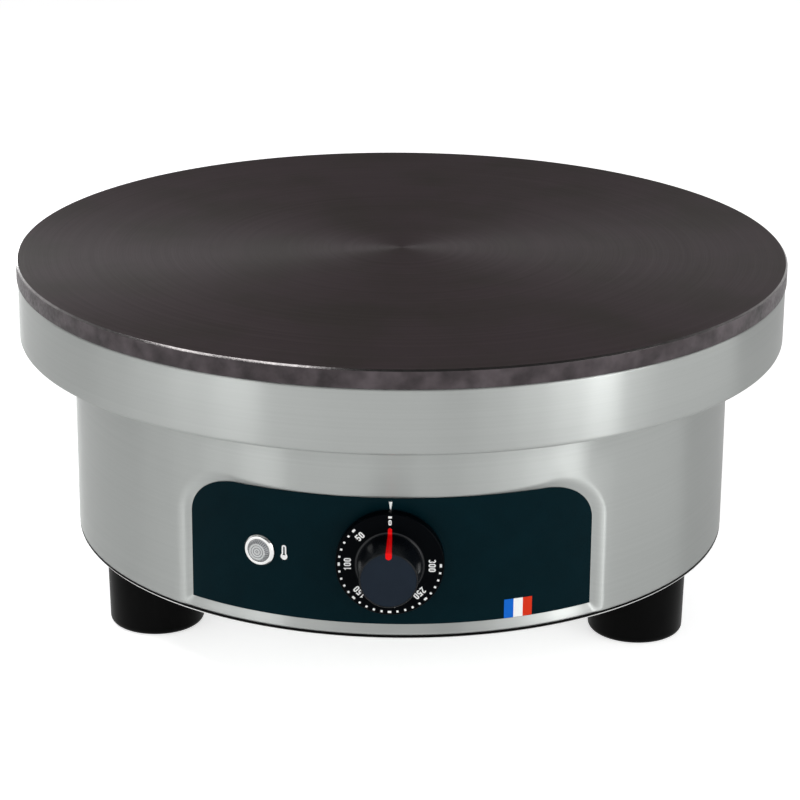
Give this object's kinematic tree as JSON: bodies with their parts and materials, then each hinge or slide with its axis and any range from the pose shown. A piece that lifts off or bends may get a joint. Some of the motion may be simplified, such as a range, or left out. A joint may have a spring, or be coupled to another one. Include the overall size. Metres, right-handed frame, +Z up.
{
  "type": "electric crepe maker",
  "caption": "Round electric crepe griddle: cast-iron plate over ring elements in a stepped steel casing on feet, with a dial thermostat and a pilot lamp.",
  "frame": {"origin": "on the plate's axis, at the level of the table under the feet", "axes": "+Z up along the plate's axis, the control panel faces -Y, +X is to the right of someone who faces the panel"},
  "size_m": [0.3999, 0.4, 0.1815],
  "materials": {
    "cast_iron": "finely turned and seasoned, dark brown-grey",
    "brushed_steel": "brushed round the casing",
    "aluminised_steel": "satin mill finish",
    "zinc_steel": "bright zinc plating",
    "element_sheath": "heat-tinted dark sheath",
    "ceramic_fibre": "felted white fibre",
    "ceramic": "unglazed off-white",
    "brass": "satin",
    "copper": "drawn copper, satin",
    "panel_film": "near-black blue-green film with a satin gloss",
    "knob_plastic": "glossy black moulding",
    "cap_plastic": "satin blue-grey",
    "pointer_red": "glossy red",
    "chrome": "bright chrome",
    "lamp_lens": "clear moulded lens with concentric steps",
    "black_nylon": "fine matt moulding",
    "foot_rubber": "satin black rubber",
    "lead_brown": "silicone sleeve",
    "lead_blue": "silicone sleeve",
    "lead_green": "silicone sleeve"
  },
  "bodies": {
    "casing": {"griddle_plate": "cast_iron", "element_inner": "element_sheath", "element_middle": "element_sheath", "element_outer": "element_sheath", "clamp_bars": "zinc_steel", "plate_studs": "zinc_steel", "clamp_screws": "zinc_steel", "clamp_nuts": "zinc_steel", "tie_nuts": "zinc_steel", "insulation_blanket": "ceramic_fibre", "heat_shield": "aluminised_steel", "tail_bushes": "ceramic", "bus_bars": "brass", "tail_nuts": "brass", "sensor_bulb": "copper", "bulb_clip": "zinc_steel", "bulb_clip_screws": "zinc_steel", "capillary": "copper", "upper_band": "brushed_steel", "body_shell": "brushed_steel", "casing_screws": "zinc_steel", "casing_nuts": "zinc_steel", "control_panel": "panel_film", "thermostat_body": "ceramic", "thermostat_screws": "zinc_steel", "pilot_lamp_bezel": "chrome", "pilot_lamp_lens": "lamp_lens", "pilot_lamp_holder": "black_nylon", "pilot_lamp_nut": "zinc_steel", "base_plate": "brushed_steel", "base_screws": "zinc_steel", "base_nuts": "zinc_steel", "foot_front_left": "foot_rubber", "foot_front_right": "foot_rubber", "foot_rear": "foot_rubber", "foot_screws": "zinc_steel", "foot_washers": "zinc_steel", "foot_nuts": "zinc_steel", "terminal_block": "ceramic", "terminal_screws": "brass", "block_screws": "zinc_steel", "earth_stud": "brass", "limit_switch": "black_nylon", "cable_gland": "black_nylon", "gland_cap_nut": "black_nylon", "gland_locknut": "black_nylon", "live_leads": "lead_brown", "neutral_leads": "lead_blue", "earth_lead": "lead_green"},
    "thermostat_dial": {"dial_knob": "knob_plastic", "knob_cap": "cap_plastic", "knob_pointer": "pointer_red", "thermostat_spindle": "zinc_steel"}
  },
  "joints": [
    {"name": "thermostat_turn", "type": "hinge", "parent": "casing", "child": "thermostat_dial", "pos_m": [0, -0.1773, 0.0759], "axis": [0, 1, 0], "range_deg": [0, 270]}
  ]
}
